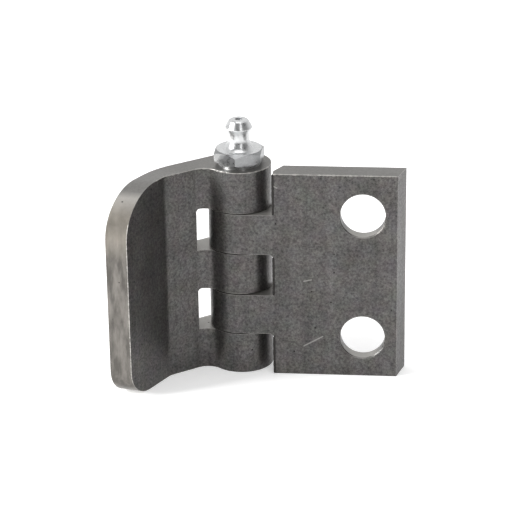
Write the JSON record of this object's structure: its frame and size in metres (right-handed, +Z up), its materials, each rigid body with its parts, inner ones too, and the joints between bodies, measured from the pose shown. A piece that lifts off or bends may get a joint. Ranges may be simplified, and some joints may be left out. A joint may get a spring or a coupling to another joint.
{
  "type": "weld-on barrel hinge",
  "caption": "Heavy barrel hinge with a bent leaf to weld on, a drilled leaf to bolt on, interleaved knuckles and a greased pin.",
  "frame": {"origin": "on the hinge axis at the barrel's lower end, which is also the lower end of both leaves", "axes": "+Z up the hinge axis towards the grease nipple; +X along the bolt leaf away from the barrel; -Y towards the side that both leaves' front faces look at"},
  "size_m": [0.0681, 0.0318, 0.0617],
  "materials": {
    "leaf_steel": "bare drawn and milled steel, dull",
    "pin_steel": "bright turned steel",
    "zinc_steel": "turned steel, bright zinc plated",
    "ball_steel": "hardened steel, polished",
    "spring_steel": "spring wire"
  },
  "bodies": {
    "frame_side": {"weld_leaf": "leaf_steel", "hinge_pin": "pin_steel", "grease_nipple": "zinc_steel", "check_spring": "spring_steel"},
    "door_side": {"bolt_leaf": "leaf_steel"},
    "valve_ball": {"check_ball": "ball_steel"}
  },
  "joints": [
    {"name": "leaf_swing", "type": "hinge", "parent": "frame_side", "child": "door_side", "pos_m": [0, 0, 0], "axis": [0, 0, 1], "range_deg": [-108, 178]},
    {"name": "valve_lift", "type": "slide", "parent": "frame_side", "child": "valve_ball", "axis": [0, 0, -1], "range_m": [0, 0.001], "stiffness_N_per_m": 200, "springref_m": -0.0005, "deforming": ["check_spring"]}
  ]
}
